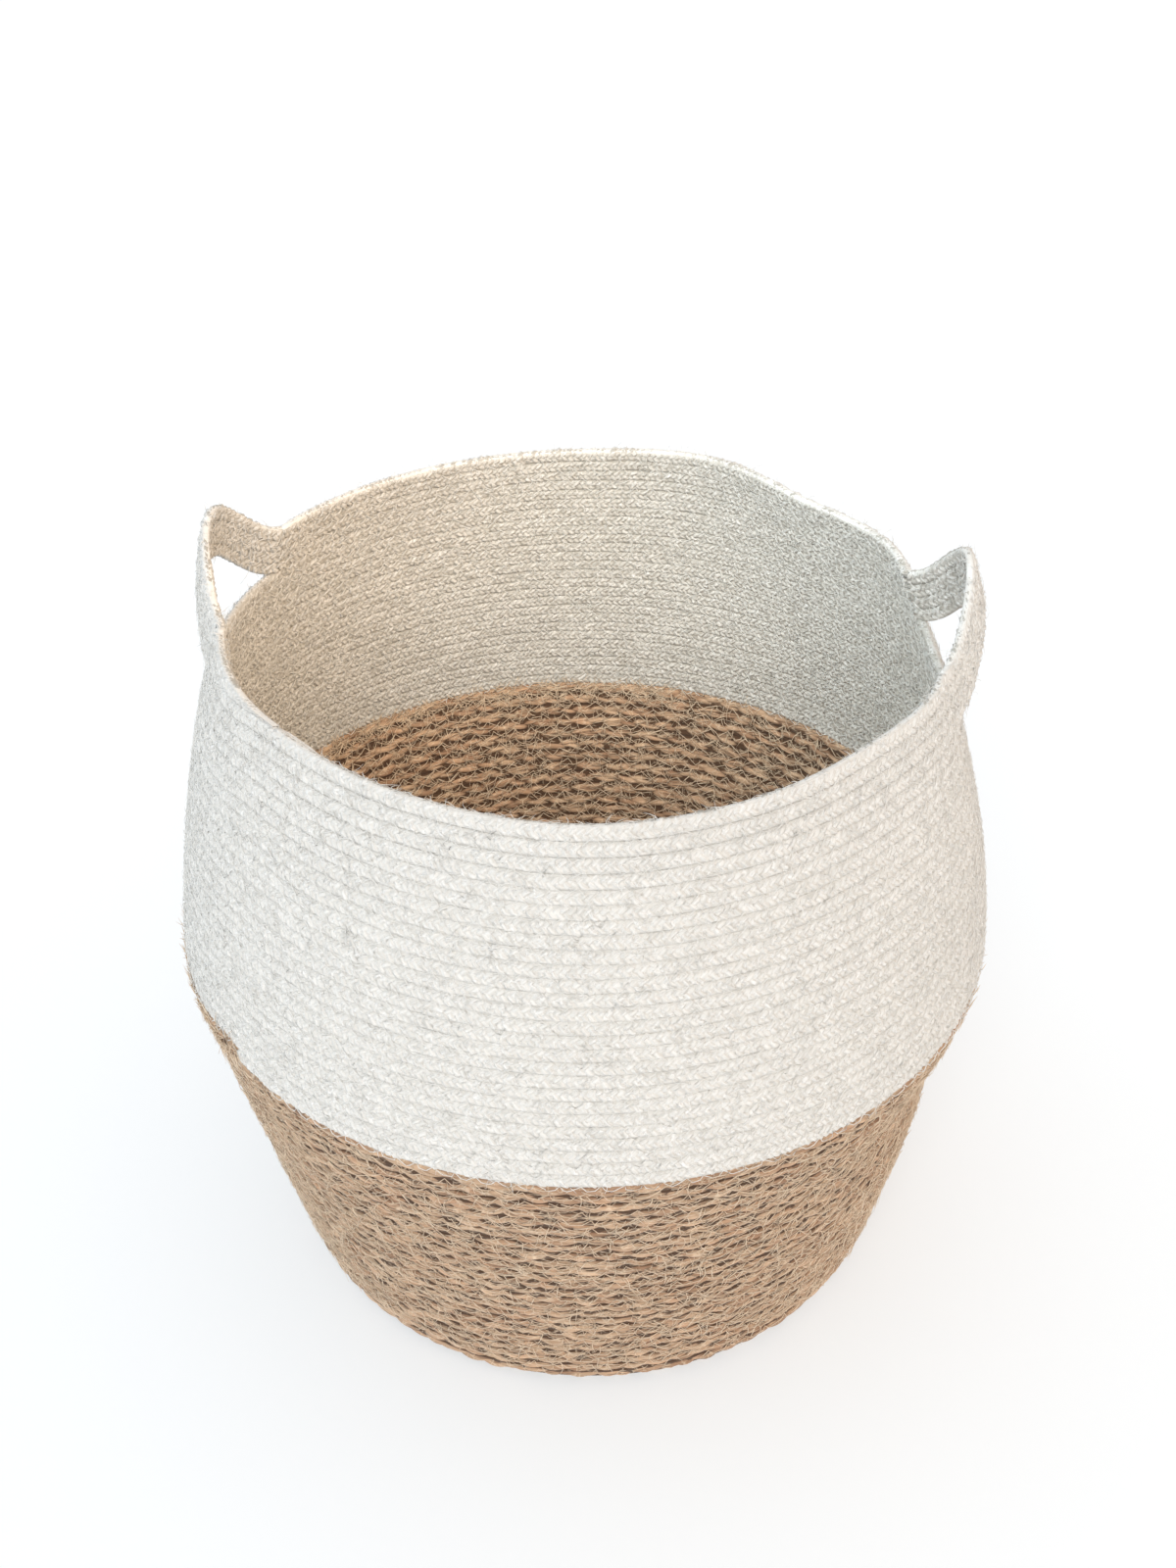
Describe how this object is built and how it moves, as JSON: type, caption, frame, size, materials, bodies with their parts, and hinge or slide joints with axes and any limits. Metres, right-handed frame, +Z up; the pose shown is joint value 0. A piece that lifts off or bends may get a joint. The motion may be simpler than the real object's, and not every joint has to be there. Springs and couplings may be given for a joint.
{
  "type": "woven laundry basket",
  "caption": "Round belly-shaped laundry basket of coiled flat braid, natural below and off-white above, with two loop handles formed by the top turns.",
  "frame": {"origin": "centre of the base on the floor, under the middle of the belly", "axes": "+Z up; the two handles stand near -X and +X"},
  "size_m": [0.4546, 0.4546, 0.4316],
  "materials": {
    "natural_braid": "matte coarse jute braid",
    "white_braid": "matte off-white cotton braid"
  },
  "bodies": {
    "basket_body": {"base_coil_start": "natural_braid", "base_coil": "natural_braid", "foot_turn": "natural_braid", "natural_wall_lower": "natural_braid", "natural_wall_middle": "natural_braid", "natural_wall_upper": "natural_braid", "white_wall_lower": "white_braid", "white_wall_middle": "white_braid", "white_wall_upper": "white_braid", "rim_back_turn_1": "white_braid", "rim_back_turn_2": "white_braid", "rim_back_turn_3": "white_braid", "rim_back_turn_4": "white_braid", "rim_front_turn_1": "white_braid", "rim_front_turn_2": "white_braid", "rim_front_turn_3": "white_braid", "rim_front_turn_4": "white_braid", "natural_braid_end": "natural_braid", "white_braid_end": "white_braid"},
    "left_handle": {"handle_left_turn_1": "white_braid", "handle_left_turn_2": "white_braid", "handle_left_turn_3": "white_braid", "handle_left_turn_4": "white_braid"},
    "right_handle": {"handle_right_turn_1": "white_braid", "handle_right_turn_2": "white_braid", "handle_right_turn_3": "white_braid", "handle_right_turn_4": "white_braid"}
  },
  "joints": [
    {"name": "left_handle_flex", "type": "hinge", "parent": "basket_body", "child": "left_handle", "pos_m": [-0.17831, 0.03466, 0.38532], "axis": [-0.1908, -0.9816, 0], "range_deg": [-45, 15], "stiffness_Nm_per_rad": 0.12},
    {"name": "right_handle_flex", "type": "hinge", "parent": "basket_body", "child": "right_handle", "pos_m": [0.17293, -0.01513, 0.38532], "axis": [0.0872, 0.9962, 0], "range_deg": [-45, 8], "stiffness_Nm_per_rad": 0.12}
  ]
}
